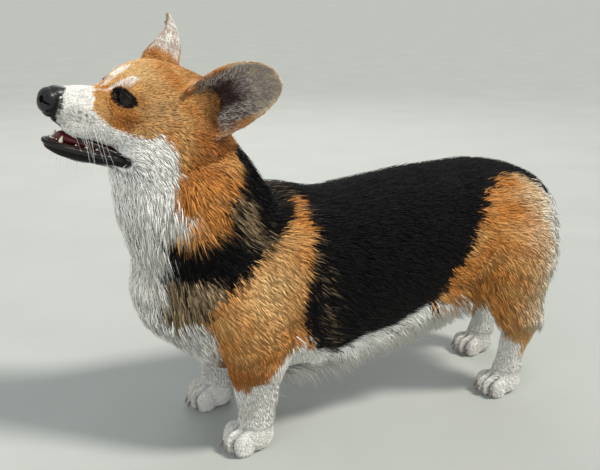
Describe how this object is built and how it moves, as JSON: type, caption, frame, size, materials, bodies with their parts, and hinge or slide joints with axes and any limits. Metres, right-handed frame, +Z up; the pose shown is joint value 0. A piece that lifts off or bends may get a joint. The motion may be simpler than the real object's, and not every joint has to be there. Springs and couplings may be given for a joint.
{
  "type": "pembroke welsh corgi model",
  "caption": "Still life-size model of a Pembroke Welsh Corgi standing with its head raised and its mouth a little open.",
  "frame": {"origin": "on the floor under the middle of the dog's box, between the forelegs and the hind legs", "axes": "the dog faces -X, its left side is towards -Y, +Z is up"},
  "size_m": [0.627, 0.21, 0.4602],
  "materials": {
    "coat_tan": "short orange-tan fur, dry and matt",
    "coat_white": "white fur, longer on the chest, matt",
    "coat_black": "black saddle fur with a slight sheen and pale hair tips",
    "ear_coat": "thin ear leather with short tan fur, grey hair inside",
    "lip_black": "moist black lip and gum",
    "tongue": "moist dark pink flesh",
    "nose_leather": "moist pebbled black skin",
    "eye": "dark brown eye with a wet cornea"
  },
  "bodies": {
    "root": {"head": "coat_tan", "lower_jaw": "lip_black", "tongue": "tongue", "nose": "nose_leather", "eye_L": "eye", "eye_R": "eye", "ear_L": "ear_coat", "ear_R": "ear_coat", "neck": "coat_white", "torso": "coat_black", "tail": "coat_black", "foreleg_L": "coat_tan", "foreleg_R": "coat_tan", "forepaw_L": "coat_white", "forepaw_R": "coat_white", "thigh_L": "coat_tan", "thigh_R": "coat_tan", "hock_L": "coat_white", "hock_R": "coat_white", "hindpaw_L": "coat_white", "hindpaw_R": "coat_white"}
  },
  "joints": []
}
